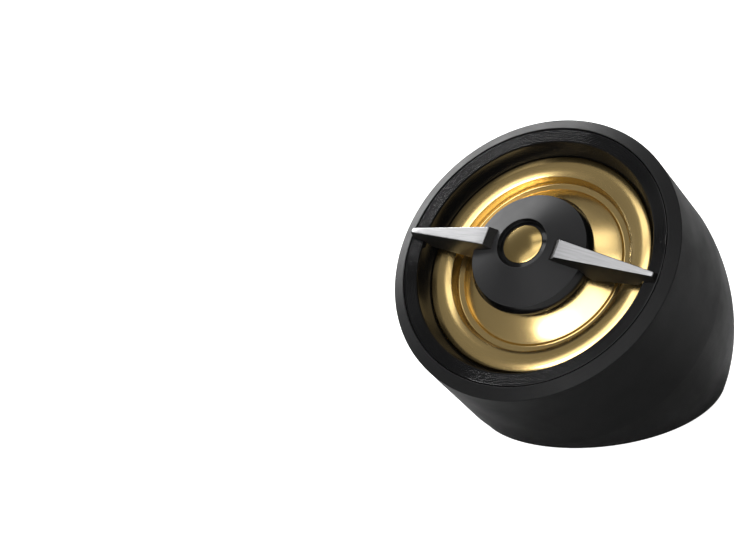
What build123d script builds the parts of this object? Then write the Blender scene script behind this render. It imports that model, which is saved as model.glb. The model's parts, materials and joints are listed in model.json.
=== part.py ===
from build123d import *
import math
import os

# Component dome tweeter in an angled surface-mount cup, in millimetres.
# The origin is the centre of the cup's footprint on the surface it stands on.
# +Z is up, and the tweeter faces -Y and upwards. Everything that belongs to the
# tweeter is drawn in the face frame: its origin is the centre of the bezel's
# front face, its x axis is +X, its y axis runs up the face and its z axis leaves
# the face. A depth is a negative z in that frame.

# ---- driving dimensions -------------------------------------------------
# face and cup
face_tilt = 46.0            # face normal, from vertical
rim_radius = 17.15          # outer edge of the cup's bevelled rim
rim_drop = 0.61             # fall of the bevel from its inner to its outer edge
crease_radius = 17.0        # where the cylinder ends and the bowl begins
crease_depth = 12.8         # the crease behind the bezel's face
crease_height = 12.87       # crease centre above the mounting surface
footprint_offset = 6.1      # footprint centre behind the crease centre
bowl_start_slope = 0.077    # bowl radius = crease radius - slope s - rate s^2
bowl_rate = 0.0125
bowl_length = 28.0
floor_top = 3.4
cup_lift = 0.1              # the cup clears the surface, so that it can turn

# tweeter, radial
bezel_radius = 15.65
seat_radius = 15.75
bezel_inner_radius = 14.11
turned_groove_count = 7
turned_groove_depth = 0.06
throat_radius = 13.3        # foot of the bezel's flared wall
lip_radius = 13.85          # outside of the lip that clamps the surround
plug_radius = 6.75
plug_foot_radius = 7.2
recess_radius = 2.95        # edge of the recess around the cap
collar_radius = 2.85        # low edge of the sloping collar in the recess
cap_radius = 2.3
coil_radius = 9.75          # inside of the voice-coil former
crown_radius = 9.4          # where the dome's crown ends in the coil groove
dome_radius = 9.95
surround_inner_radius = 10.15
groove_radius = 10.3        # foot of the roll's inner wall
roll_inner_radius = 10.68
crest_radius = 11.85
roll_outer_radius = 13.1
flange_inner_radius = 13.25
flange_radius = 13.8

# tweeter, heights and depths in the face frame
recess_height = 3.2
collar_height = 2.68
pocket_floor = 1.7
cap_edge_height = 2.95
cap_rise = 0.5
plug_edge_height = 1.2
plug_foot_height = 0.5
plug_bottom = -0.15
wing_inner_height = 3.45
wing_tip_height = 1.02
seat_depth = 2.45
flange_depth = 2.3          # the bezel's lip, on the surround's flange
crest_depth = 1.55
roll_curvature = 2.5        # radius of the roll's section
groove_depth = 2.95
crown_edge_depth = 2.7
dome_rise = 2.3
film = 0.15                 # modelled thickness of the formed film parts
bond = 0.02                 # gap left where two parts are glued or clamped

# wings and arms
wing_inner_radius = 4.6
wing_tip_radius = 15.46
wing_inner_width = 2.11
wing_tip_width = 0.5
wing_thickness = 0.3
arm_margin = 0.03           # arm beyond the wing at the top of each side
arm_flare = 0.4             # how much wider each side is at the bottom
arm_inner_radius = 3.3
arm_underside = -0.75

# motor
pole_radius = 9.5
pole_thickness = 1.5
magnet_radius = 9.0
magnet_thickness = 3.2
yoke_radius = 12.6
yoke_bore_radius = 10.5
yoke_floor = 1.5
yoke_chamfer = 0.4
motor_top = -4.4
pad_radius = 8.6
pad_bore_radius = 1.2
pad_thickness = 0.8
former_bottom = -6.3
coil_bottom = -6.2
coil_top = -4.2
coil_thickness = 0.3

# module housing and bayonet
housing_radius = 14.45
housing_bore_radius = 12.65
housing_rear_radius = 13.9
housing_ledge = -3.6        # the diaphragm frame stands on it
housing_shoulder = -6.0
seat_bore_radius = 14.6
seat_lip = 1.1              # thickness of the cup's lip under the bezel
cup_bore_radius = 15.45
lug_radius = 15.25
lug_bottom = -4.75
lug_top = -3.65
lug_span = 20.0
notch_span = 26.0
stop_span = 3.0
stop_offset = 2.2           # degrees from the lug's edge to the stop's middle
lug_angles = [90.0, 210.0, 330.0]
unlock_twist = 35.0
retainer_inner_radius = 11.4
retainer_thickness = 0.6

# terminals on the back of the yoke
board_thickness = 1.0
board_half_width = 5.6
board_half_height = 2.8
rivet_x = 4.3
rivet_radius = 0.6
terminal_x = 1.9
terminal_y = 5.5
positive_width = 2.8
negative_width = 2.0
blade_thickness = 0.4
blade_length = 6.4
blade_eye_radius = 0.55
terminal_foot_half = 1.3
lead_x = 2.4
lead_y = 12.8
lead_radius = 0.18

# mounting base
base_radius = 11.0
base_recess_radius = 11.2
base_thickness = 1.85
hub_radius = 4.7
hub_hole_radius = 4.8
wire_hole_radius = 3.0
screw_offset = 7.7
screw_hole_radius = 1.65
countersink_radius = 2.9
tab_radius = 6.0
tab_span = 44.0
hub_top = floor_top + 1.0
grommet_bore_radius = 1.7

# ---- derived places -----------------------------------------------------
tilt = math.radians(face_tilt)
face_y = -footprint_offset - crease_depth * math.sin(tilt)
face_z = crease_height + crease_depth * math.cos(tilt)
bezel_back = -seat_depth + 0.3
film_top = -flange_depth - bond
face = Plane(
    origin=(0, face_y, face_z),
    x_dir=(1, 0, 0),
    z_dir=(0, -math.sin(tilt), math.cos(tilt)),
)
pole_bottom = motor_top - pole_thickness
magnet_bottom = pole_bottom - magnet_thickness
yoke_bottom = magnet_bottom - yoke_floor
board_back = yoke_bottom - board_thickness


# ---- helpers ------------------------------------------------------------
def turned(*points):
    """Solid of revolution about z from a closed (radius, height) outline."""
    outline = Polyline(*points, close=True)
    return revolve(make_face(Plane.XZ * outline), Axis.Z)


def turned_edges(edges):
    """Solid of revolution about z from joined edges in (radius, height)."""
    outline = Curve() + edges
    return revolve(make_face(Plane.XZ * outline), Axis.Z)


def tube(outer, inner, bottom, top):
    return turned((inner, bottom), (outer, bottom), (outer, top), (inner, top))


def disc(radius, bottom, top):
    return turned((0, bottom), (radius, bottom), (radius, top), (0, top))


def sector(inner, outer, bottom, top, middle, span):
    """Part of a ring, span degrees wide, about the direction middle."""
    ring = tube(outer, inner, bottom, top)
    reach = 2 * outer
    half = math.radians(span / 2)
    wedge = Polyline(
        (0, 0),
        (reach * math.cos(half), -reach * math.sin(half)),
        (reach * math.cos(half), reach * math.sin(half)),
        close=True,
    )
    blade = extrude(Plane.XY.offset(bottom) * make_face(wedge), top - bottom)
    return ring & (Rot(0, 0, middle) * blade)


def crown_arc(radius, edge_height, rise):
    """Arc of a sphere centred on the axis, from its edge to its top, with both ends."""
    curvature = (radius**2 + rise**2) / (2 * rise)
    middle_radius = radius / 2
    sag = curvature - math.sqrt(curvature**2 - middle_radius**2)
    edge = (radius, edge_height)
    top = (0, edge_height + rise)
    return ThreePointArc(edge, (middle_radius, top[1] - sag), top), edge, top


def block(x0, x1, y0, y1, z0, z1):
    centre = ((x0 + x1) / 2, (y0 + y1) / 2, (z0 + z1) / 2)
    return Pos(*centre) * Box(x1 - x0, y1 - y0, z1 - z0)


def bowl_radius(depth):
    """Outer radius of the bowl, depth behind the crease."""
    return crease_radius - bowl_start_slope * depth - bowl_rate * depth**2


def place(shape):
    """Move a shape from the face frame to the part's frame."""
    return face.location * shape


def save(shape, name):
    shape.label = name
    export_step(shape, f"parts/{name}.step")


# ---- cup ----------------------------------------------------------------
def bowl_edge(inset):
    """Half outline of the bowl, a parabola drawn as a quadratic Bezier curve."""
    start = (crease_radius - inset, -crease_depth)
    steer = (start[0] - bowl_start_slope * bowl_length / 2, start[1] - bowl_length / 2)
    end = (bowl_radius(bowl_length) - inset, start[1] - bowl_length)
    return Bezier(start, steer, end), start, end


def cup_outside():
    curve, start, end = bowl_edge(0)
    rim_inner = (seat_radius + 0.1, 0)
    rim_outer = (rim_radius - 0.08, -rim_drop + 0.02)
    rim_round = (rim_radius, -rim_drop - 0.12)
    return turned_edges([
        Line((0, 0), rim_inner),
        Line(rim_inner, rim_outer),
        Line(rim_outer, rim_round),
        Line(rim_round, start),
        curve,
        Line(end, (0, end[1])),
        Line((0, end[1]), (0, 0)),
    ])


def cup_inside():
    curve, start, end = bowl_edge(crease_radius - cup_bore_radius)
    lip_bottom = -seat_depth - seat_lip
    return turned_edges([
        Line((0, 1), (seat_radius, 1)),
        Line((seat_radius, 1), (seat_radius, -seat_depth)),
        Line((seat_radius, -seat_depth), (seat_bore_radius, -seat_depth)),
        Line((seat_bore_radius, -seat_depth), (seat_bore_radius, lip_bottom)),
        Line((seat_bore_radius, lip_bottom), (cup_bore_radius, lip_bottom)),
        Line((cup_bore_radius, lip_bottom), start),
        curve,
        Line(end, (0, end[1])),
        Line((0, end[1]), (0, 1)),
    ])


def cup_shell():
    reach = 60
    above_sole = block(-reach, reach, -reach, reach, cup_lift, reach)
    above_floor = block(-reach, reach, -reach, reach, floor_top, reach)
    shell = (place(cup_outside()) & above_sole) - (place(cup_inside()) & above_floor)
    for angle in lug_angles:
        notch = sector(
            seat_bore_radius - 0.5, cup_bore_radius, -seat_depth - seat_lip - 0.1, -seat_depth + 0.1,
            angle + unlock_twist, notch_span,
        )
        shell -= place(notch)
        stop = sector(
            seat_bore_radius + 0.1, cup_bore_radius + 0.3, lug_bottom - 0.1, lug_top + 0.2,
            angle - lug_span / 2 - stop_offset, stop_span,
        )
        shell += place(stop)
    shell -= disc(base_recess_radius, -1, base_thickness + 0.15)
    shell -= disc(hub_hole_radius, -1, floor_top + 1)
    for angle in (90, 270):
        shell -= sector(hub_hole_radius - 0.5, tab_radius + 0.2, 1, floor_top + 1, angle, tab_span + 8)
    return shell


# ---- mounting base ------------------------------------------------------
def mounting_base():
    body = disc(base_radius, 0, base_thickness) + disc(hub_radius, base_thickness, hub_top)
    for angle in (0, 180):
        body += sector(hub_radius - 0.3, tab_radius, floor_top + 0.1, hub_top, angle, tab_span)
    body -= disc(wire_hole_radius, -1, hub_top + 1)
    for side in (-1, 1):
        hole = turned(
            (0, -1),
            (screw_hole_radius, -1),
            (screw_hole_radius, base_thickness - countersink_radius + screw_hole_radius),
            (countersink_radius, base_thickness),
            (countersink_radius, base_thickness + 0.5),
            (0, base_thickness + 0.5),
        )
        body -= Pos(side * screw_offset, 0, 0) * hole
    return body


def wire_grommet():
    """Rubber sleeve in the hub, with a collar over the hub's top."""
    return turned(
        (grommet_bore_radius, 0.3),
        (wire_hole_radius, 0.3),
        (wire_hole_radius, hub_top),
        (wire_hole_radius + 0.7, hub_top),
        (wire_hole_radius + 0.5, hub_top + 0.5),
        (grommet_bore_radius, hub_top + 0.5),
    )


# ---- front of the tweeter -----------------------------------------------
def bezel_ring():
    """Front ring with fine concentric grooves and a flared inner wall."""
    first = bezel_inner_radius + 0.1
    last = bezel_radius - 0.12
    pitch = (last - first) / turned_groove_count
    top = [(bezel_inner_radius, 0)]
    for index in range(turned_groove_count):
        radius = first + index * pitch
        top.append((radius, 0))
        top.append((radius + pitch / 2, -turned_groove_depth))
    top += [(last, 0), (bezel_radius, -0.1)]
    rest = [
        (bezel_radius, bezel_back),
        (lip_radius, bezel_back),
        (lip_radius, -flange_depth),
        (throat_radius, -flange_depth),
        (throat_radius, -flange_depth + 0.35),
    ]
    wall_middle = (lip_radius - 0.05, -0.95)
    edges = [Polyline(*top, *rest), ThreePointArc(rest[-1], wall_middle, top[0])]
    return turned_edges(edges)


def seat_gasket():
    return tube(bezel_radius - 0.05, housing_radius + 0.2, -seat_depth + bond, bezel_back)


def wing_slope():
    return (wing_inner_height - wing_tip_height) / (wing_tip_radius - wing_inner_radius)


def top_height(radius):
    """Height of the wings' upper face at a radius."""
    return wing_inner_height - wing_slope() * (radius - wing_inner_radius)


def half_width(radius):
    """Half the wings' width at a radius."""
    narrowing = (wing_inner_width - wing_tip_width) / (wing_tip_radius - wing_inner_radius)
    return (wing_inner_width - narrowing * (radius - wing_inner_radius)) / 2


def side_profile(*points):
    """Slab 8 wide, symmetric about y = 0, from an outline in (radius, height)."""
    return extrude(Plane.XZ * make_face(Polyline(*points, close=True)), 4, both=True)


def wing():
    inner_half = half_width(wing_inner_radius)
    tip_half = half_width(wing_tip_radius)
    outline = Polyline(
        (wing_inner_radius, -inner_half),
        (wing_tip_radius, -tip_half),
        (wing_tip_radius, tip_half),
        (wing_inner_radius, inner_half),
        close=True,
    )
    plan = extrude(make_face(outline), recess_height + 2)
    reach = wing_tip_radius + 2
    return plan & side_profile(
        (0, top_height(0)), (reach, top_height(reach)),
        (reach, top_height(reach) - wing_thickness), (0, top_height(0) - wing_thickness),
    )


def arm_section(radius):
    """Cross-section of an arm: flared sides, and a top that the wing covers."""
    top = top_height(radius) - wing_thickness
    top_half = half_width(radius) + arm_margin
    foot_half = top_half + arm_flare
    plane = Plane(origin=(radius, 0, 0), x_dir=(0, 1, 0), z_dir=(1, 0, 0))
    corners = Polyline(
        (-foot_half, arm_underside), (foot_half, arm_underside),
        (top_half, top), (-top_half, top),
        close=True,
    )
    return plane * make_face(corners)


def arm():
    outer = wing_tip_radius + 0.1
    shoulder = wing_inner_radius - 0.15
    body = loft([arm_section(arm_inner_radius), arm_section(outer)])
    return body & side_profile(
        (arm_inner_radius, recess_height - 0.25),
        (shoulder, top_height(wing_inner_radius) - wing_thickness),
        (shoulder, recess_height + 1),
        (outer, recess_height + 1),
        (outer, 0),
        (bezel_inner_radius - 0.05, 0),
        (throat_radius, arm_underside),
        (plug_foot_radius + 0.5, arm_underside),
        (plug_foot_radius - 0.2, 0),
        (plug_foot_radius - 1.7, 0.9),
        (arm_inner_radius, 1.6),
    )


def phase_plug():
    """Raised plug in front of the dome, with the two arms that carry it."""
    under, under_edge, under_top = crown_arc(plug_foot_radius - 0.1, plug_bottom, 1.1)
    outline = [
        Polyline(
            under_top,
            (0, pocket_floor),
            (cap_radius, pocket_floor),
            (cap_radius, cap_edge_height - 0.03),
            (collar_radius, collar_height),
            (recess_radius, recess_height),
            (plug_radius, plug_edge_height),
            (plug_foot_radius, plug_foot_height),
            under_edge,
        ),
        under,
    ]
    body = turned_edges(outline)
    cap_pocket = disc(recess_radius, pocket_floor, recess_height + 2)
    arms = arm() + Rot(0, 0, 180) * arm()
    return body + (arms - cap_pocket)


def center_cap():
    crown, edge, top = crown_arc(cap_radius, cap_edge_height, cap_rise)
    return turned_edges([crown, Polyline(top, (0, pocket_floor), (cap_radius, pocket_floor), edge)])


# ---- diaphragm ----------------------------------------------------------
def roll_arc(inner, outer, thinner):
    """Arc of the roll's section between two radii, with both ends."""
    curvature = roll_curvature - thinner
    centre = -crest_depth - roll_curvature

    def on_roll(radius):
        return radius, centre + math.sqrt(curvature**2 - (radius - crest_radius) ** 2)

    start = on_roll(inner)
    end = on_roll(outer)
    return ThreePointArc(start, on_roll(crest_radius), end), start, end


def surround():
    """Formed roll, from the coil groove to the flange that the bezel clamps."""
    upper, upper_inner, upper_outer = roll_arc(roll_inner_radius, roll_outer_radius, 0)
    lower, lower_inner, lower_outer = roll_arc(roll_inner_radius + film, roll_outer_radius - film, film)
    groove = -groove_depth
    inner_edge = [
        lower_inner,
        (groove_radius + film, groove - film),
        (surround_inner_radius, groove - film),
        (surround_inner_radius, groove),
        (groove_radius, groove),
        upper_inner,
    ]
    flange = [
        upper_outer,
        (flange_inner_radius, film_top),
        (flange_radius, film_top),
        (flange_radius, film_top - film),
        (flange_inner_radius - film, film_top - film),
        lower_outer,
    ]
    return turned_edges([Polyline(*inner_edge), upper, Polyline(*flange), lower])


def diaphragm_frame():
    return tube(flange_radius, housing_bore_radius + 0.1, housing_ledge, film_top - film)


def dome():
    """Crown with a flat foot in the coil groove."""
    upper, upper_edge, upper_top = crown_arc(crown_radius, -crown_edge_depth, dome_rise)
    lower, lower_edge, lower_top = crown_arc(crown_radius - film, -crown_edge_depth - film, dome_rise)
    groove = -groove_depth
    foot = [
        lower_edge,
        (crown_radius, groove - film),
        (dome_radius, groove - film),
        (dome_radius, groove),
        (crown_radius + film, groove),
        upper_edge,
    ]
    return turned_edges([upper, Line(upper_top, lower_top), lower, Polyline(*foot)])


def coil_former():
    return tube(coil_radius + film, coil_radius, former_bottom, -groove_depth - film)


def voice_coil():
    inner = coil_radius + film
    return tube(inner + coil_thickness, inner, coil_bottom, coil_top)


# ---- motor --------------------------------------------------------------
def yoke():
    body = disc(yoke_radius, yoke_bottom, motor_top)
    body -= disc(yoke_bore_radius, magnet_bottom, motor_top + 1)
    for side in (-1, 1):
        body -= Pos(side * rivet_x, terminal_y, 0) * disc(rivet_radius, yoke_bottom - 1, magnet_bottom + 1)
    rear_circles = body.edges().filter_by(GeomType.CIRCLE).group_by(Axis.Z)[0]
    return chamfer(rear_circles.sort_by(SortBy.LENGTH)[-1], yoke_chamfer)


def damping_pad():
    return tube(pad_radius, pad_bore_radius, motor_top, motor_top + pad_thickness)


# ---- module housing and terminals ---------------------------------------
def module_housing():
    body = turned(
        (housing_bore_radius, housing_ledge), (lip_radius, housing_ledge), (lip_radius, bezel_back),
        (housing_radius, bezel_back), (housing_radius, housing_shoulder),
        (housing_rear_radius, housing_shoulder - 0.6), (housing_rear_radius, yoke_bottom),
        (housing_bore_radius, yoke_bottom),
    )
    for angle in lug_angles:
        body += sector(housing_radius - 0.4, lug_radius, lug_bottom, lug_top, angle, lug_span)
    for side in (-1, 1):
        x = side * lead_x
        slot = block(x - 0.35, x + 0.35, lead_y - 0.8, lead_y + 0.45, yoke_bottom - 1, housing_ledge + 0.6)
        body -= slot
    return body


def yoke_retainer():
    ring = tube(flange_radius, retainer_inner_radius, yoke_bottom - retainer_thickness, yoke_bottom)
    lead_gap = block(-3.2, 3.2, 10, 14, yoke_bottom - 2, yoke_bottom + 1)
    return ring - lead_gap


def terminal_board():
    board = block(
        -board_half_width, board_half_width,
        terminal_y - board_half_height, terminal_y + board_half_height,
        board_back, yoke_bottom,
    )
    for side in (-1, 1):
        board -= Pos(side * rivet_x, terminal_y, 0) * disc(rivet_radius, board_back - 1, yoke_bottom + 1)
    return board


def terminal_rivets():
    rivets = []
    for side in (-1, 1):
        shank = disc(rivet_radius, board_back, yoke_bottom + 1.0)
        head = turned(
            (0, board_back - 0.45),
            (rivet_radius, board_back - 0.45),
            (rivet_radius + 0.4, board_back),
            (0, board_back),
        )
        rivets.append(Pos(side * rivet_x, terminal_y, 0) * (shank + head))
    return Compound(rivets)


def terminal(side, width):
    """Solder tab on the board with a blade that points to the rear."""
    x = side * terminal_x
    near = terminal_y - 1.4
    foot = block(
        x - terminal_foot_half, x + terminal_foot_half,
        near, terminal_y + 2.4,
        board_back - blade_thickness, board_back,
    )
    blade = block(
        x - width / 2, x + width / 2, near, near + blade_thickness, board_back - blade_length, board_back
    )
    eye = Rot(90, 0, 0) * Cylinder(blade_eye_radius, 2)
    return foot + blade - Pos(x, near, board_back - blade_length + 1.2) * eye


def coil_leads():
    leads = []
    for side in (-1, 1):
        x = side * lead_x
        top = Vector(x, lead_y, housing_ledge - 0.05)
        corner = Vector(x, lead_y, board_back - 0.8)
        end = Vector(x, terminal_y + 1.6, board_back - 0.8)
        path = FilletPolyline(top, corner, end, radius=0.9)
        section = Plane(origin=path @ 0, z_dir=path % 0) * Circle(lead_radius)
        leads.append(sweep(section, path=path))
    return Compound(leads)


def solder_joints():
    joints = []
    for side in (-1, 1):
        spot = Pos(side * lead_x, terminal_y + 1.2, 0)
        joints.append(spot * turned(
            (0, board_back - 1.15), (0.3, board_back - 1.1),
            (0.75, board_back - blade_thickness), (0, board_back - blade_thickness),
        ))
    return Compound(joints) - coil_leads()


# ---- write every piece --------------------------------------------------
os.makedirs("parts", exist_ok=True)

upright_pieces = {
    "mounting_base": mounting_base(),
    "wire_grommet": wire_grommet(),
    "cup_shell": cup_shell(),
}
face_pieces = {
    "bezel_ring": bezel_ring(),
    "seat_gasket": seat_gasket(),
    "phase_plug": phase_plug(),
    "right_wing": wing(),
    "left_wing": Rot(0, 0, 180) * wing(),
    "center_cap": center_cap(),
    "surround": surround(),
    "diaphragm_frame": diaphragm_frame(),
    "dome": dome(),
    "coil_former": coil_former(),
    "voice_coil": voice_coil(),
    "pole_plate": disc(pole_radius, pole_bottom, motor_top),
    "magnet": disc(magnet_radius, magnet_bottom, pole_bottom),
    "yoke": yoke(),
    "damping_pad": damping_pad(),
    "module_housing": module_housing(),
    "yoke_retainer": yoke_retainer(),
    "terminal_board": terminal_board(),
    "terminal_rivets": terminal_rivets(),
    "positive_terminal": terminal(1, positive_width),
    "negative_terminal": terminal(-1, negative_width),
    "coil_leads": coil_leads(),
    "solder_joints": solder_joints(),
}
for name, shape in upright_pieces.items():
    save(shape, name)
for name, shape in face_pieces.items():
    save(place(shape), name)
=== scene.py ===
import json
import math

import bmesh
import bpy
import numpy as np
from mathutils import Matrix, Vector


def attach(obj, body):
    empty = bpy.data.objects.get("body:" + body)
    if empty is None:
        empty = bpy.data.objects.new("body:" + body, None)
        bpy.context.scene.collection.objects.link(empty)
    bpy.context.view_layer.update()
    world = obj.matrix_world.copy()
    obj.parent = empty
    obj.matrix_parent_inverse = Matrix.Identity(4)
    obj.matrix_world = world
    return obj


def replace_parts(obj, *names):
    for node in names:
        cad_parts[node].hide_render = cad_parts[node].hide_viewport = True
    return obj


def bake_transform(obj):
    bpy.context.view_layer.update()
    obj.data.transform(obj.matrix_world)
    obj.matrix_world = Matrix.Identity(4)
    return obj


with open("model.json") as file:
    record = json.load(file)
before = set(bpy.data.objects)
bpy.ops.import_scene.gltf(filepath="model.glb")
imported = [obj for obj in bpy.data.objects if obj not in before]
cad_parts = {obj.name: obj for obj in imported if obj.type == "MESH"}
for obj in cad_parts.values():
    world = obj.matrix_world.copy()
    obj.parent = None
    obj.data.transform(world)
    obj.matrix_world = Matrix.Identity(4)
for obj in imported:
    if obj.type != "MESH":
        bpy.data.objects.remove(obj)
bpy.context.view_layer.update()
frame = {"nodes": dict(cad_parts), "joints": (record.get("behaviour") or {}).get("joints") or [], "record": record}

MM = 0.001
TURN = 2 * math.pi

# ---- the two frames -----------------------------------------------------
# Everything on the tweeter is drawn in the face frame: millimetres, z out along
# the face's normal, x along the wings, origin at the centre of the bezel's front.
twist = next(j for j in frame["joints"] if j["name"] == "tweeter_twist_lock")
normal = Vector(twist["axis"]).normalized()
right = Vector((1, 0, 0))
up = normal.cross(right)
face_centre = Vector(twist["pos_m"])
face_rotation = Matrix((right, up, normal)).transposed()
face_to_row = Matrix.Translation(face_centre) @ face_rotation.to_4x4() @ Matrix.Scale(MM, 4)
row_in_mm = Matrix.Scale(MM, 4)

# ---- sizes, in millimetres ----------------------------------------------
ROUND_SEGMENTS = 256
RIM_RADIUS = 17.15
RIM_LAND = 0.1              # flat between the bezel's seat and the bevel
RIM_DROP = 0.63             # the bevel's height
RIM_ROUND = 0.13
CYLINDER_TOP = 0.9          # where the cylinder starts, below the face
CREASE_RADIUS = 17.0
CREASE_DEPTH = 12.8
BOWL_SLOPE = 0.077          # bowl radius = crease radius - slope s - rate s^2
BOWL_RATE = 0.0125
BOWL_LONGEST = 28.0
BOWL_STEPS = 44
BORE_RADIUS = 15.45
SEAT_RADIUS = 15.75
SEAT_BORE = 14.6
FLOOR_TOP = 3.4
SOLE_HEIGHT = 0.1
SOLE_ROUND = 0.16
LEDGE_THICKNESS = 1.1       # of the cup's inner ledge, under the bezel's seat
BASE_RECESS_RADIUS = 11.2
BASE_RECESS_TOP = 2.0
HUB_HOLE_RADIUS = 4.8
BEZEL_RADIUS = 15.65
BEZEL_INNER = 14.11
BEZEL_GROOVES = 7
BEZEL_BORDER = 0.1          # plain land on either side of the grooves
WALL_MIDDLE = (13.8, -0.95)  # a point halfway down the flared inner wall
THROAT_RADIUS = 13.3
THROAT_TOP = -1.95
LIP_RADIUS = 13.85
LIP_DEPTH = 2.3
SEAT_DEPTH = 2.45
BEZEL_BACK = -2.15
# one groove of the bezel: share of the pitch, depth
GROOVE_SECTION = (
    (0.0, 0.0), (0.35, 0.0), (0.45, 0.012), (0.57, 0.045), (0.65, 0.055), (0.73, 0.045), (0.88, 0.012),
)
PLUG_RADIUS = 6.8
PLUG_EDGE = 1.2
PLUG_FOOT = 7.25
PLUG_FOOT_TOP = 0.35
PLUG_BOTTOM = -0.25
PLUG_HOLLOW = 1.1           # how far the plug's underside is domed
PLUG_ROUND = 0.07
RECESS_RADIUS = 2.95
RECESS_HEIGHT = 3.2
COLLAR_RADIUS = 2.85
COLLAR_LOW = 2.68
CAP_RADIUS = 2.3
CAP_EDGE = 2.95
CAP_RISE = 0.38
POCKET_FLOOR = 1.7
WING_INNER = 4.6
WING_TIP = 15.46
WING_TOP_INNER = 3.45
WING_TOP_TIP = 1.02
WING_WIDTH_INNER = 2.11
WING_WIDTH_TIP = 0.5
WING_THICKNESS = 0.3
WING_ROUND = 0.07
ARM_INNER = 3.6
ARM_INNER_HEIGHT = 2.7
ARM_UNDERSIDE = -0.75
ARM_FLARE = 0.4
ARM_DROP = 0.08             # of the arm's top below the wing's
ARM_END = 0.06              # past the wing's tip
POCKET_DEPTH = 0.22         # for the wing, in the arm's top
FILM = 0.15                 # thickness of the surround and the dome
FILM_ROUND = 0.12
FILM_TOP = -2.32
FLANGE_RADIUS = 13.8
FLANGE_INNER = 13.25
ROLL_OUTER = 13.1
CREST_RADIUS = 11.85
CREST_HEIGHT = -1.55
ROLL_CURVATURE = 2.5
ROLL_INNER = 10.68
GROOVE_OUTER = 10.3
GROOVE_INNER = 9.6
GROOVE_BOTTOM = -2.95
GROOVE_ROUND = 0.14
CROWN_RADIUS = 9.4
CROWN_EDGE = -2.7
CROWN_RISE = 2.3


# ---- mesh helpers -------------------------------------------------------
GENTLE_TURN = math.radians(12)      # a corner that turns less than this is left alone


def finish_mesh(name, vertices, faces, place, sharp=35.0):
    """A smooth-shaded object from millimetre vertices, with its large faces kept flat."""
    mesh = bpy.data.meshes.new(name)
    mesh.from_pydata([tuple(v) for v in vertices], [], faces)
    mesh.transform(place)
    tidy = bmesh.new()
    tidy.from_mesh(mesh)
    bmesh.ops.remove_doubles(tidy, verts=tidy.verts, dist=1e-8)
    bmesh.ops.recalc_face_normals(tidy, faces=tidy.faces)
    tidy.to_mesh(mesh)
    tidy.free()
    mesh.shade_smooth()
    mesh.set_sharp_from_angle(angle=math.radians(sharp))
    obj = bpy.data.objects.new(name, mesh)
    bpy.context.scene.collection.objects.link(obj)
    return obj


def weigh_normals(obj):
    modifier = obj.modifiers.new("weighted", "WEIGHTED_NORMAL")
    modifier.keep_sharp = True
    return obj


def soften(points, radius, closed=True, steps=4):
    """The outline with every corner turned into a small arc."""
    points = [np.array(p, float) for p in points]
    count = len(points)
    result = []
    for i, corner in enumerate(points):
        if not closed and i in (0, count - 1):
            result.append(corner)
            continue
        before = points[i - 1] - corner
        after = points[(i + 1) % count] - corner
        len_before, len_after = np.linalg.norm(before), np.linalg.norm(after)
        before, after = before / len_before, after / len_after
        turn = math.pi - math.acos(max(-1.0, min(1.0, float(before @ after))))
        if turn < GENTLE_TURN:
            result.append(corner)
            continue
        cut = min(radius * math.tan(turn / 2), 0.4 * len_before, 0.4 * len_after)
        start, end = corner + before * cut, corner + after * cut
        for k in range(steps + 1):
            t = k / steps
            result.append((1 - t) ** 2 * start + 2 * t * (1 - t) * corner + t * t * end)
    return result


def arc(start, middle, end, steps):
    """Points of the circular arc through three points, ends included."""
    (ax, ay), (bx, by), (cx, cy) = start, middle, end
    d = 2 * (ax * (by - cy) + bx * (cy - ay) + cx * (ay - by))
    ux = ((ax**2 + ay**2) * (by - cy) + (bx**2 + by**2) * (cy - ay) + (cx**2 + cy**2) * (ay - by)) / d
    uy = ((ax**2 + ay**2) * (cx - bx) + (bx**2 + by**2) * (ax - cx) + (cx**2 + cy**2) * (bx - ax)) / d
    radius = math.hypot(ax - ux, ay - uy)
    a0 = math.atan2(ay - uy, ax - ux)
    am = (math.atan2(by - uy, bx - ux) - a0) % TURN
    a1 = (math.atan2(cy - uy, cx - ux) - a0) % TURN
    sweep = a1 if am < a1 else a1 - TURN
    return [
        (ux + radius * math.cos(a0 + sweep * k / steps), uy + radius * math.sin(a0 + sweep * k / steps))
        for k in range(steps + 1)
    ]


def loft(name, rings, place, sharp=35.0):
    """Skin over rings of equal length; the last ring joins the first."""
    rings = np.array(rings, float)
    ring_count, segments = rings.shape[:2]
    vertices = rings.reshape(-1, 3)
    faces = []
    for i in range(ring_count):
        j = (i + 1) % ring_count
        for k in range(segments):
            m = (k + 1) % segments
            faces.append((i * segments + k, i * segments + m, j * segments + m, j * segments + k))
    return finish_mesh(name, vertices, faces, place, sharp)


def lathe(name, outline, place, segments=224, sharp=35.0):
    """Turned solid; an outline whose ends lie on the axis is closed there."""
    on_axis = abs(outline[0][0]) < 1e-9 and abs(outline[-1][0]) < 1e-9
    body = outline[1:-1] if on_axis else outline
    angles = [TURN * k / segments for k in range(segments)]
    vertices = [(r * math.cos(a), r * math.sin(a), h) for r, h in body for a in angles]
    faces = []
    rows = len(body)
    for i in range(rows - 1 if on_axis else rows):
        j = (i + 1) % rows
        for k in range(segments):
            m = (k + 1) % segments
            faces.append((i * segments + k, i * segments + m, j * segments + m, j * segments + k))
    if on_axis:
        for row, tip in ((0, outline[0]), (rows - 1, outline[-1])):
            vertices.append((0, 0, tip[1]))
            last = len(vertices) - 1
            for k in range(segments):
                faces.append((last, row * segments + k, row * segments + (k + 1) % segments))
    return finish_mesh(name, vertices, faces, place, sharp)


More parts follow.
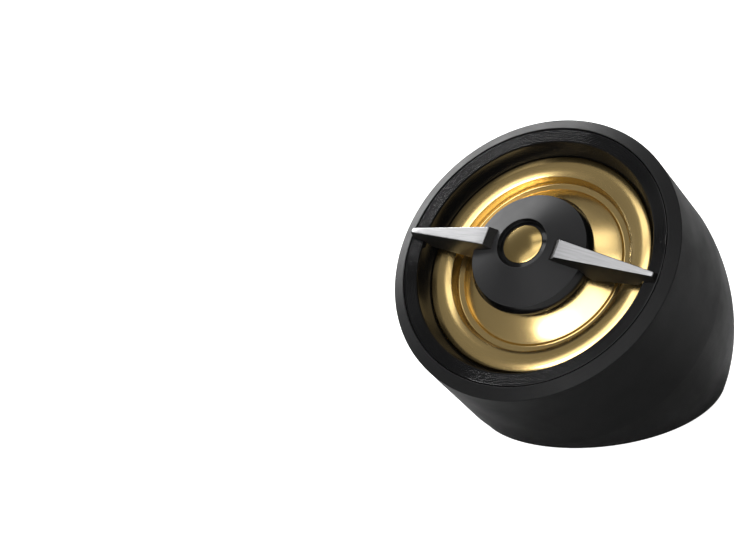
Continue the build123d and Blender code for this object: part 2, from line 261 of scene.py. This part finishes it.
def bar(name, stations, place, sharp=35.0):
    """Bar over cross-sections of equal length, closed with a flat face at each end."""
    rings = np.array(stations, float)
    ring_count, segments = rings.shape[:2]
    faces = [tuple(range(segments)), tuple(range((ring_count - 1) * segments, ring_count * segments))]
    for i in range(ring_count - 1):
        for k in range(segments):
            m = (k + 1) % segments
            faces.append((
                i * segments + k, i * segments + m, (i + 1) * segments + m, (i + 1) * segments + k
            ))
    return finish_mesh(name, rings.reshape(-1, 3), faces, place, sharp)


# ---- materials ----------------------------------------------------------
class Shader:
    """A node material, with short calls for the nodes that the materials share."""

    def __init__(self, name, color, roughness, metallic=0.0, specular=0.5):
        self.material = bpy.data.materials.new(name)
        self.material.use_nodes = True
        self.tree = self.material.node_tree
        self.bsdf = self.tree.nodes["Principled BSDF"]
        self.bsdf.inputs["Base Color"].default_value = (*color, 1)
        self.bsdf.inputs["Roughness"].default_value = roughness
        self.bsdf.inputs["Metallic"].default_value = metallic
        self.bsdf.inputs["Specular IOR Level"].default_value = specular

    def node(self, kind, **settings):
        item = self.tree.nodes.new(kind)
        for key, value in settings.items():
            setattr(item, key, value)
        return item

    def link(self, source, target):
        self.tree.links.new(source, target)

    def row_mm(self):
        """Object coordinates in millimetres; every mesh lies in the row frame."""
        coordinates = self.node("ShaderNodeTexCoord")
        scale = self.node("ShaderNodeVectorMath", operation="SCALE")
        self.link(coordinates.outputs["Object"], scale.inputs[0])
        scale.inputs["Scale"].default_value = 1 / MM
        return scale.outputs[0]

    def face_mm(self):
        """Coordinates in the face frame, in millimetres."""
        shift = self.node("ShaderNodeVectorMath", operation="SUBTRACT")
        self.link(self.row_mm(), shift.inputs[0])
        shift.inputs[1].default_value = face_centre / MM
        parts = self.node("ShaderNodeCombineXYZ")
        for index, axis in enumerate((right, up, normal)):
            dot = self.node("ShaderNodeVectorMath", operation="DOT_PRODUCT")
            self.link(shift.outputs[0], dot.inputs[0])
            dot.inputs[1].default_value = axis
            self.link(dot.outputs["Value"], parts.inputs[index])
        return parts.outputs[0]

    def stretched(self, vector, scale):
        node = self.node("ShaderNodeVectorMath", operation="MULTIPLY")
        self.link(vector, node.inputs[0])
        node.inputs[1].default_value = scale
        return node.outputs[0]

    def noise(self, vector, scale, detail=3.0, rough=0.55):
        node = self.node("ShaderNodeTexNoise")
        self.link(vector, node.inputs["Vector"])
        node.inputs["Scale"].default_value = scale
        node.inputs["Detail"].default_value = detail
        node.inputs["Roughness"].default_value = rough
        return node.outputs["Fac"]

    def ramp(self, value, low, high, out_low=0.0, out_high=1.0):
        node = self.node("ShaderNodeMapRange")
        self.link(value, node.inputs["Value"])
        node.inputs["From Min"].default_value = low
        node.inputs["From Max"].default_value = high
        node.inputs["To Min"].default_value = out_low
        node.inputs["To Max"].default_value = out_high
        return node.outputs["Result"]

    def times(self, value, factor):
        node = self.node("ShaderNodeMath", operation="MULTIPLY")
        self.link(value, node.inputs[0])
        node.inputs[1].default_value = factor
        return node.outputs[0]

    def mix_colour(self, factor, first, second):
        node = self.node("ShaderNodeMix", data_type="RGBA")
        self.link(factor, node.inputs["Factor"])
        for socket, value in ((6, first), (7, second)):
            if isinstance(value, tuple):
                node.inputs[socket].default_value = (*value, 1)
            else:
                self.link(value, node.inputs[socket])
        return node.outputs[2]

    def bump(self, height, strength, distance_mm):
        node = self.node("ShaderNodeBump")
        self.link(height, node.inputs["Height"])
        node.inputs["Strength"].default_value = strength
        node.inputs["Distance"].default_value = distance_mm * MM
        return node.outputs["Normal"]

    def edge(self, radius_mm):
        """1 on a worn edge, 0 on a flat face."""
        bevel = self.node("ShaderNodeBevel", samples=4)
        bevel.inputs["Radius"].default_value = radius_mm * MM
        geometry = self.node("ShaderNodeNewGeometry")
        dot = self.node("ShaderNodeVectorMath", operation="DOT_PRODUCT")
        self.link(bevel.outputs["Normal"], dot.inputs[0])
        self.link(geometry.outputs["Normal"], dot.inputs[1])
        return self.ramp(dot.outputs["Value"], 0.99, 0.8)

    def set(self, socket, value):
        self.link(value, self.bsdf.inputs[socket])


MOULDED_GRAIN = 0.12        # size of the moulding's grain


def moulded(name, color, roughness, specular=0.3, grain=0.05, wear=0.25):
    """Moulded plastic or rubber: fine grain, faint patches of gloss and lighter edges."""
    shader = Shader(name, color, roughness, specular=specular)
    place = shader.row_mm()
    fine = shader.noise(place, 1 / MOULDED_GRAIN, 4.0, 0.6)
    patches = shader.noise(place, 0.25, 3.0)
    shader.set("Normal", shader.bump(fine, grain, 0.02))
    spread = shader.ramp(patches, 0.3, 0.7, roughness - 0.05, roughness + 0.05)
    shader.set("Roughness", spread)
    if wear > 0:
        worn = tuple(min(1.0, c * 2.2 + 0.01) for c in color)
        edge = shader.times(shader.edge(0.12), wear)
        shader.set("Base Color", shader.mix_colour(edge, color, worn))
    return shader.material


def metal(name, color, roughness, grain=0.04, grain_size=0.15, wear=0.3, clouding=0.08):
    """Plated or bare metal: fine surface grain, cloudy roughness and bright edges."""
    shader = Shader(name, color, roughness, metallic=1.0)
    place = shader.row_mm()
    fine = shader.noise(place, 1 / grain_size, 4.0, 0.6)
    clouds = shader.noise(place, 0.35, 4.0)
    shader.set("Normal", shader.bump(fine, grain, 0.02))
    shader.set("Roughness", shader.ramp(clouds, 0.3, 0.7, roughness - clouding, roughness + clouding))
    dull = tuple(c * (1 - 3 * clouding) for c in color)
    base = shader.mix_colour(shader.ramp(clouds, 0.35, 0.75), color, dull)
    bright = tuple(min(1.0, c * 1.25 + 0.03) for c in color)
    edge = shader.times(shader.edge(0.1), wear)
    shader.set("Base Color", shader.mix_colour(edge, base, bright))
    return shader.material


def brushed(name, color, roughness):
    """Aluminium brushed along the wings' length."""
    shader = Shader(name, color, roughness, metallic=1.0)
    place = shader.face_mm()
    streaks = shader.noise(shader.stretched(place, (0.5, 22.0, 4.0)), 1.0, 4.0, 0.65)
    broad = shader.noise(shader.stretched(place, (0.12, 5.0, 1.0)), 1.0, 2.0)
    shader.set("Normal", shader.bump(streaks, 0.35, 0.01))
    shader.set("Roughness", shader.ramp(streaks, 0.3, 0.7, roughness - 0.08, roughness + 0.1))
    dark = tuple(c * 0.82 for c in color)
    shader.set("Base Color", shader.mix_colour(shader.ramp(broad, 0.35, 0.7), color, dark))
    return shader.material


materials = {
    "cup_plastic": moulded("cup plastic", (0.0088, 0.0088, 0.0090), 0.43, 0.07, grain=0.32),
    "gloss_black": moulded("gloss black", (0.003, 0.003, 0.0032), 0.14, 0.2, grain=0.0008, wear=0.0),
    "plug_plastic": moulded("plug satin", (0.0165, 0.0165, 0.017), 0.46, 0.06, grain=0.25),
    "plug_gloss": moulded("plug gloss", (0.002, 0.002, 0.002), 0.12, 0.35, grain=0.0008, wear=0.0),
    "arm_plastic": moulded("arm plastic", (0.006, 0.0056, 0.005), 0.45, 0.1),
    "brushed_aluminium": brushed("brushed aluminium", (0.31, 0.31, 0.315), 0.40),
    "gold_film": metal("gold film", (0.62, 0.45, 0.19), 0.22, grain=0.0008, clouding=0.01),
    # painted shade: the cap's colour is the film's gold at about half brightness, so the whole cap looks dimmer
    # than its lighting makes it
    "gold_cap": metal("gold cap painted shade", (0.34, 0.245, 0.095), 0.2, grain=0.003, grain_size=0.2, clouding=0.02),
    "base_plastic": moulded("base plastic", (0.014, 0.014, 0.015), 0.5, 0.3, grain=0.15),
    "black_rubber": moulded("black rubber", (0.01, 0.01, 0.01), 0.7, 0.2, grain=0.2),
    "foam": moulded("foam gasket", (0.012, 0.012, 0.012), 0.9, 0.1, grain=0.5),
    "frame_plastic": moulded("frame plastic", (0.018, 0.018, 0.018), 0.45, 0.35),
    "former_film": moulded("former film", (0.35, 0.14, 0.04), 0.3, 0.5),
    "copper_wire": metal("copper wire", (0.80, 0.36, 0.18), 0.28),
    "plated_steel": metal("plated steel", (0.62, 0.62, 0.60), 0.3),
    "magnet_nickel": metal("nickel plating", (0.66, 0.63, 0.58), 0.2),
    "felt": moulded("felt", (0.03, 0.03, 0.032), 0.95, 0.05, grain=0.8),
    "phenolic_board": moulded("phenolic board", (0.20, 0.09, 0.03), 0.5, 0.4, grain=0.2),
    "rivet_aluminium": metal("rivet aluminium", (0.75, 0.75, 0.76), 0.35),
    "tinned_brass": metal("tinned brass", (0.72, 0.70, 0.64), 0.3),
    "lead_wire": metal("lead wire", (0.62, 0.52, 0.36), 0.4, grain=0.4),
    "solder": metal("solder", (0.66, 0.66, 0.67), 0.25),
}


def dress(obj, *slots):
    obj.data.materials.clear()
    for name in slots:
        obj.data.materials.append(materials[name])
    return obj


# ---- cup ----------------------------------------------------------------
# The cup is turned about the face's axis and cut flat at its sole, so its rings share these angles.
cup_angles = [TURN * k / ROUND_SEGMENTS for k in range(ROUND_SEGMENTS)]
face_origin = np.array(face_centre) / MM
face_axes = np.array(face_rotation).T        # rows: right, up, normal


def cup_point(radius, angle, height):
    """Point round the face's axis, in the row's frame and in millimetres."""
    across = math.cos(angle) * face_axes[0] + math.sin(angle) * face_axes[1]
    return face_origin + radius * across + height * face_axes[2]


def turned_ring(radius, height):
    return [cup_point(radius, a, height) for a in cup_angles]


def bowl_point(start, angle, depth):
    """Point of the bowl that starts with this radius, at a depth behind the crease."""
    radius = start - BOWL_SLOPE * depth - BOWL_RATE * depth * depth
    return cup_point(radius, angle, -CREASE_DEPTH - depth)


def depth_at(level, angle, start):
    """Distance behind the crease at which the bowl reaches a world height."""
    low, high = 0.0, BOWL_LONGEST
    for _ in range(50):
        middle = (low + high) / 2
        if bowl_point(start, angle, middle)[2] > level:
            low = middle
        else:
            high = middle
    return low


def rim_and_cylinder():
    section = soften(
        [(SEAT_RADIUS, -0.3), (SEAT_RADIUS, 0), (SEAT_RADIUS + RIM_LAND, 0), (RIM_RADIUS, -RIM_DROP),
         (RIM_RADIUS, -CYLINDER_TOP)],
        RIM_ROUND, closed=False, steps=5,
    )
    rings = [turned_ring(radius, height) for radius, height in section]
    for k in range(1, 13):
        t = k / 12
        radius = RIM_RADIUS + t * (CREASE_RADIUS - RIM_RADIUS)
        rings.append(turned_ring(radius, -CYLINDER_TOP - t * (CREASE_DEPTH - CYLINDER_TOP)))
    return rings


def bowl_and_sole_edge():
    """The bowl from the crease down to its flat cut, with a small round at the cut."""
    ends = [depth_at(SOLE_HEIGHT + SOLE_ROUND, a, CREASE_RADIUS) for a in cup_angles]
    rings = []
    for k in range(1, BOWL_STEPS + 1):
        t = k / BOWL_STEPS
        rings.append([bowl_point(CREASE_RADIUS, a, e * t) for a, e in zip(cup_angles, ends)])
    edge = np.array(rings[-1])
    inward = np.zeros_like(edge)
    inward[:, :2] = -edge[:, :2] / np.linalg.norm(edge[:, :2], axis=1)[:, None]
    for k in range(1, 6):
        a = math.pi / 2 * k / 5
        drop = np.array([0, 0, -SOLE_ROUND * math.sin(a)])
        rings.append(edge + SOLE_ROUND * (1 - math.cos(a)) * inward + drop)
    return rings


def base_recess(bearings):
    """Upright rings of the recess for the base and of the hub's hole, up to the inner floor."""
    section = (
        (BASE_RECESS_RADIUS + 0.12, SOLE_HEIGHT), (BASE_RECESS_RADIUS, SOLE_HEIGHT + 0.12),
        (BASE_RECESS_RADIUS, BASE_RECESS_TOP - 0.01), (BASE_RECESS_RADIUS - 0.01, BASE_RECESS_TOP),
        (HUB_HOLE_RADIUS + 0.1, BASE_RECESS_TOP), (HUB_HOLE_RADIUS, BASE_RECESS_TOP + 0.1),
        (HUB_HOLE_RADIUS, FLOOR_TOP - 0.1), (HUB_HOLE_RADIUS + 0.1, FLOOR_TOP),
    )
    return [[(r * math.cos(b), r * math.sin(b), height) for b in bearings] for r, height in section]


def inner_wall():
    """The wall from the floor up; where the crease is under the floor, the floor cuts the bore."""
    step = 0.02
    ends = [depth_at(FLOOR_TOP, a, BORE_RADIUS) for a in cup_angles]
    bore_starts = []
    for angle, end in zip(cup_angles, ends):
        rise = BORE_RADIUS * math.sin(angle) * face_axes[1][2]
        bore_starts.append(None if end > 1e-3 else (FLOOR_TOP - face_origin[2] - rise) / face_axes[2][2])
    rings = []
    for k in range(BOWL_STEPS, -1, -4):
        reach = k / BOWL_STEPS
        rings.append([
            bowl_point(BORE_RADIUS, a, e * reach) if start is None
            else cup_point(BORE_RADIUS, a, start + (1 - reach) * step)
            for a, e, start in zip(cup_angles, ends, bore_starts)
        ])
    ledge = -SEAT_DEPTH - LEDGE_THICKNESS
    for t in (0.25, 0.5, 0.75, 1.0):
        lows = [-CREASE_DEPTH if start is None else start + step for start in bore_starts]
        rings.append([cup_point(BORE_RADIUS, a, low + t * (ledge - low)) for a, low in zip(cup_angles, lows)])
    section = ((SEAT_BORE, ledge), (SEAT_BORE, -SEAT_DEPTH), (SEAT_RADIUS, -SEAT_DEPTH))
    return rings + [turned_ring(radius, height) for radius, height in section]


def cup_skin():
    """Closed skin of the cup: down the outside, through the base recess and up the inside."""
    outside = rim_and_cylinder() + bowl_and_sole_edge()
    bearings = [math.atan2(p[1], p[0]) for p in outside[-1]]
    return loft("cup_skin", outside + base_recess(bearings) + inner_wall(), row_in_mm, sharp=40)


cup = weigh_normals(dress(cup_skin(), "cup_plastic"))
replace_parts(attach(cup, "cup"), "cup_shell")


# ---- bezel --------------------------------------------------------------
def bezel():
    start, stop = BEZEL_INNER + BEZEL_BORDER, BEZEL_RADIUS - BEZEL_BORDER
    pitch = (stop - start) / BEZEL_GROOVES
    top = [(BEZEL_INNER, -0.05), (BEZEL_INNER + 0.04, 0.0)]
    for i in range(BEZEL_GROOVES):
        low = start + i * pitch
        top += [(low + f * pitch, -d) for f, d in GROOVE_SECTION]
    top += [(stop, 0), (BEZEL_RADIUS - 0.03, -0.02), (BEZEL_RADIUS, -0.1)]
    back = [
        (BEZEL_RADIUS, BEZEL_BACK), (LIP_RADIUS, BEZEL_BACK), (LIP_RADIUS, -LIP_DEPTH),
        (THROAT_RADIUS + 0.05, -LIP_DEPTH), (THROAT_RADIUS, -LIP_DEPTH + 0.05),
    ]
    wall = arc((THROAT_RADIUS, THROAT_TOP), WALL_MIDDLE, (BEZEL_INNER, -0.05), 16)
    return lathe("bezel", top + back + wall[:-1], face_to_row, ROUND_SEGMENTS, sharp=40)


ring_piece = dress(bezel(), "gloss_black")
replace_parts(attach(ring_piece, "tweeter"), "bezel_ring")


# ---- gold film ----------------------------------------------------------
def cap_profile(radius, edge, rise, steps=24):
    """Points of a shallow dome from its edge to its top."""
    curvature = (radius**2 + rise**2) / (2 * rise)
    radii = [radius * (1 - k / steps) for k in range(steps + 1)]
    return [(r, edge + rise - curvature + math.sqrt(curvature**2 - r * r)) for r in radii]


def roll_height(radius, drop):
    """Height of the roll's arc, which lies a drop below the upper skin."""
    curvature = ROLL_CURVATURE - drop
    return CREST_HEIGHT - ROLL_CURVATURE + math.sqrt(curvature**2 - (radius - CREST_RADIUS) ** 2)


def roll(start, stop, drop):
    radii = [start + (stop - start) * k / 16 for k in range(17)]
    return [(r, roll_height(r, drop)) for r in radii]


def outer_film():
    """Flange and outer half of the roll."""
    upper = soften(
        [(FLANGE_RADIUS, FILM_TOP), (FLANGE_INNER, FILM_TOP), *roll(ROLL_OUTER, CREST_RADIUS, 0)],
        FILM_ROUND, closed=False,
    )
    lower = [
        *roll(CREST_RADIUS, ROLL_OUTER - FILM, FILM),
        (FLANGE_INNER - FILM, FILM_TOP - FILM), (FLANGE_RADIUS, FILM_TOP - FILM),
    ]
    return lathe("surround_film", upper + lower, face_to_row, ROUND_SEGMENTS, sharp=60)


def inner_film():
    """Inner half of the roll, coil groove and dome in one piece."""
    upper = soften(
        [*roll(CREST_RADIUS, ROLL_INNER, 0), (GROOVE_OUTER, GROOVE_BOTTOM), (GROOVE_INNER, GROOVE_BOTTOM),
         *cap_profile(CROWN_RADIUS, CROWN_EDGE, CROWN_RISE)],
        GROOVE_ROUND, closed=False,
    )
    lower = [
        *roll(CREST_RADIUS, ROLL_INNER + FILM, FILM),
        (GROOVE_OUTER + FILM, GROOVE_BOTTOM - FILM), (GROOVE_INNER - FILM, GROOVE_BOTTOM - FILM),
        *cap_profile(CROWN_RADIUS - FILM, CROWN_EDGE - FILM, CROWN_RISE),
    ]
    outline = list(reversed(upper)) + lower
    return lathe("diaphragm_film", outline, face_to_row, ROUND_SEGMENTS, sharp=60)


surround = dress(outer_film(), "gold_film")
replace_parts(surround, "surround")
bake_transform(surround)

diaphragm = dress(inner_film(), "gold_film")
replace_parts(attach(diaphragm, "diaphragm"), "dome")


# ---- plug, arms, wings and cap ------------------------------------------
def wing_top(radius):
    slope = (WING_TOP_INNER - WING_TOP_TIP) / (WING_TIP - WING_INNER)
    return WING_TOP_INNER - slope * (radius - WING_INNER)


def wing_half(radius):
    share = (radius - WING_INNER) / (WING_TIP - WING_INNER)
    return (WING_WIDTH_INNER + (WING_WIDTH_TIP - WING_WIDTH_INNER) * share) / 2


def wing_mesh(name, turn):
    """Tapered strip with rounded edges and an inner end concentric with the plug."""
    stations = []
    ends = [(WING_INNER, 0.1), (WING_INNER + 0.03, 0.03), (WING_INNER + 0.1, 0.0)]
    ends += [(WING_INNER + 0.1 + (WING_TIP - WING_INNER - 0.2) * k / 12, 0.0) for k in range(1, 12)]
    ends += [(WING_TIP - 0.1, 0.0), (WING_TIP - 0.03, 0.03), (WING_TIP, 0.1)]
    for x, inset in ends:
        half, top = wing_half(x) - inset, wing_top(x) - inset * 0.7
        bottom = top - WING_THICKNESS + inset
        section = soften([(-half, bottom), (half, bottom), (half, top), (-half, top)], WING_ROUND)
        curved = x < WING_INNER + 0.2
        stations.append([(math.sqrt(x * x - y * y) if curved else x, y, z) for y, z in section])
    return bar(name, stations, face_to_row @ Matrix.Rotation(turn, 4, "Z"))


for name, node, turn in (("right_wing_strip", "right_wing", 0.0), ("left_wing_strip", "left_wing", math.pi)):
    strip = weigh_normals(dress(wing_mesh(name, turn), "brushed_aluminium"))
    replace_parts(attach(strip, "tweeter"), node)


def plug_body():
    """Satin cone with a polished foot, the recess with its sloping collar and the cap's pocket."""
    under = list(reversed(cap_profile(PLUG_FOOT - 0.1, PLUG_BOTTOM, PLUG_HOLLOW, 16)))
    outline = soften(
        [(0, POCKET_FLOOR), (CAP_RADIUS, POCKET_FLOOR), (CAP_RADIUS, CAP_EDGE - 0.03),
         (COLLAR_RADIUS, COLLAR_LOW), (RECESS_RADIUS, RECESS_HEIGHT), (PLUG_RADIUS, PLUG_EDGE),
         (PLUG_FOOT, PLUG_FOOT_TOP), under[-1], under[-2]],
        PLUG_ROUND, closed=False,
    )
    return lathe("plug", outline + list(reversed(under[:-2])), face_to_row, segments=224, sharp=30)


def arm_mesh(name, turn):
    """Black arm under a wing: ramps out of the plug and rests on the bezel."""
    outer = WING_TIP + ARM_END
    ramp = WING_INNER - 0.05
    # radius and height along the arm's underside
    low_places = [
        (ARM_INNER, 1.6), (PLUG_FOOT - 1.7, 0.9), (PLUG_FOOT - 0.2, 0.0), (PLUG_FOOT + 0.5, ARM_UNDERSIDE),
        (THROAT_RADIUS, ARM_UNDERSIDE), (BEZEL_INNER - 0.05, 0.0), (outer, 0.0),
    ]

    def top(x):
        if x < ramp:
            low, high = ARM_INNER_HEIGHT, wing_top(ramp) - ARM_DROP
            return low + (high - low) * (x - ARM_INNER) / (ramp - ARM_INNER)
        return wing_top(x) - ARM_DROP

    places = {x for x, _ in low_places} | {
        ramp - 0.1, ramp, WING_INNER - 0.02, WING_INNER - 0.01,
        WING_TIP + 0.01, WING_TIP + 0.02, 8.5, 9.5, 10.5, 11.5, 12.5,
    }
    stations = []
    for x in sorted(places):
        strip = wing_half(x) + 0.01
        lip = strip + 0.03
        high = top(x)
        low = float(np.interp(x, *zip(*low_places)))
        foot = lip + ARM_FLARE * (high - low) / (high - ARM_UNDERSIDE)
        pocket = POCKET_DEPTH if WING_INNER - 0.015 < x < WING_TIP + 0.015 else 0.0
        edge = soften([(foot, low), (lip, high), (strip, high)], 0.05, closed=False)
        right_side = [*edge, (strip, high - pocket)]
        left_side = [(-y, z) for y, z in reversed(right_side)]
        stations.append([(x, y, z) for y, z in [*right_side, *left_side]])
    return bar(name, stations, face_to_row @ Matrix.Rotation(turn, 4, "Z"), sharp=40)


# the plug's cone is satin; its foot and everything inside the recess is polished
plug = dress(plug_body(), "plug_plastic", "plug_gloss")
for polygon in plug.data.polygons:
    centre = face_to_row.inverted() @ polygon.center
    radius = math.hypot(centre.x, centre.y)
    if radius < RECESS_RADIUS or radius > PLUG_RADIUS or centre.z < PLUG_EDGE - 0.1:
        polygon.material_index = 1
for name, turn in (("right_arm", 0.0), ("left_arm", math.pi)):
    arm = dress(arm_mesh(name, turn), "arm_plastic")
    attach(arm, "tweeter")
weigh_normals(plug)
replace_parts(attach(plug, "tweeter"), "phase_plug")


def cap_body():
    crown = list(reversed(cap_profile(CAP_RADIUS - 0.05, CAP_EDGE, CAP_RISE, 16)))
    side = [(CAP_RADIUS - 0.012, CAP_EDGE - 0.02), (CAP_RADIUS, CAP_EDGE - 0.07)]
    outline = crown + side + [(CAP_RADIUS, POCKET_FLOOR), (0, POCKET_FLOOR)]
    return lathe("cap", outline, face_to_row, segments=128)


cap = dress(cap_body(), "gold_cap")
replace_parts(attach(cap, "tweeter"), "center_cap")

# ---- pieces that keep their CAD mesh ------------------------------------
for piece in frame["record"]["subparts"]:
    dress(frame["nodes"][piece["node"]], piece["material_slot"])

# ---- floor, camera and surroundings -------------------------------------
bpy.ops.mesh.primitive_plane_add(size=6.0, location=(0, 0, -0.0001))
floor = bpy.context.object
floor.name = "floor"
floor_shader = Shader("floor", (0.45, 0.45, 0.45), 0.9, specular=0.1)
seen = floor_shader.node("ShaderNodeLightPath").outputs["Is Camera Ray"]
floor_shader.bsdf.inputs["Emission Color"].default_value = (1, 1, 1, 1)
floor_shader.set("Emission Strength", floor_shader.ramp(seen, 0.0, 1.0, 0.0, 1.0))
floor.data.materials.append(floor_shader.material)

scene = bpy.context.scene
camera_data = bpy.data.cameras.new("camera")
camera = bpy.data.objects.new("camera", camera_data)
scene.collection.objects.link(camera)
camera.location = (0.178419, -0.299564, 0.143268)
camera.rotation_euler = [math.radians(a) for a in (69.8383, 2.4538, 34.1924)]
camera_data.lens = 156.0
camera_data.sensor_width = 36.0
camera_data.clip_start = 0.01
camera_data.clip_end = 20
scene.camera = camera
bpy.context.view_layer.update()
view_axes = camera.matrix_world.to_3x3()


def surroundings(dim_side, bright, dim):
    """A soft sky, dimmer towards one side, and plain white where it is seen directly."""
    world = bpy.data.worlds.new("studio")
    world.use_nodes = True
    nodes, links = world.node_tree.nodes, world.node_tree.links
    toward = nodes.new("ShaderNodeVectorMath")
    toward.operation = "DOT_PRODUCT"
    toward.inputs[1].default_value = dim_side
    links.new(nodes.new("ShaderNodeTexCoord").outputs["Generated"], toward.inputs[0])
    side_level = nodes.new("ShaderNodeMapRange")
    for socket, value in (("From Min", -0.1), ("From Max", 0.5), ("To Min", bright), ("To Max", dim)):
        side_level.inputs[socket].default_value = value
    links.new(toward.outputs["Value"], side_level.inputs["Value"])
    level = nodes.new("ShaderNodeMapRange")
    level.inputs["To Max"].default_value = 1.0
    links.new(side_level.outputs["Result"], level.inputs["To Min"])
    links.new(nodes.new("ShaderNodeLightPath").outputs["Is Camera Ray"], level.inputs["Value"])
    nodes["Background"].inputs["Color"].default_value = (1, 1, 1, 1)
    links.new(level.outputs["Result"], nodes["Background"].inputs["Strength"])
    return world


scene.world = surroundings(view_axes @ Vector((1, 0, 0)), bright=0.27, dim=0.12)


# ---- lights -------------------------------------------------------------
def softbox(name, direction, along, size_x, size_y, radiance):
    """Area light a metre from the face; its direction and long side are in the main view's axes."""
    data = bpy.data.lights.new(name, "AREA")
    data.shape = "RECTANGLE"
    data.size = size_x
    data.size_y = size_y
    data.energy = radiance * math.pi * size_x * size_y
    light = bpy.data.objects.new(name, data)
    light.visible_camera = False
    scene.collection.objects.link(light)
    back = (view_axes @ Vector(direction)).normalized()
    side = view_axes @ Vector(along)
    side = (side - side.dot(back) * back).normalized()
    turn = Matrix((side, back.cross(side), back)).transposed().to_4x4()
    light.matrix_world = Matrix.Translation(face_centre + back) @ turn


softbox("large panel", (-0.24, 0.33, 0.91), (0.43, 0.23, -0.05), 1.3, 0.9, 1.95)
softbox("front softbox", (-0.36, 0.15, 0.92), (0.51, 0.42, 0.06), 0.86, 0.4, 2.7)
softbox("glint card", (-0.57, 0.095, 0.81), (0.33, 0.13, 0.22), 0.42, 0.1, 16.0)
softbox("upper card", (-0.15, 0.69, 0.70), (1, 0, 0), 0.6, 0.24, 1.7)
softbox("overhead", (-0.16, 0.88, 0.43), (1, 0, 0), 0.5, 0.24, 2.2)
softbox("rim strip", (-0.51, 0.71, -0.50), (0.50, 0.46, 0.19), 1.0, 0.14, 54.0)
softbox("side card", (0.72, -0.33, 0.61), (0, 1, 0), 0.2, 0.14, 5.0)

scene.view_settings.view_transform = "Standard"
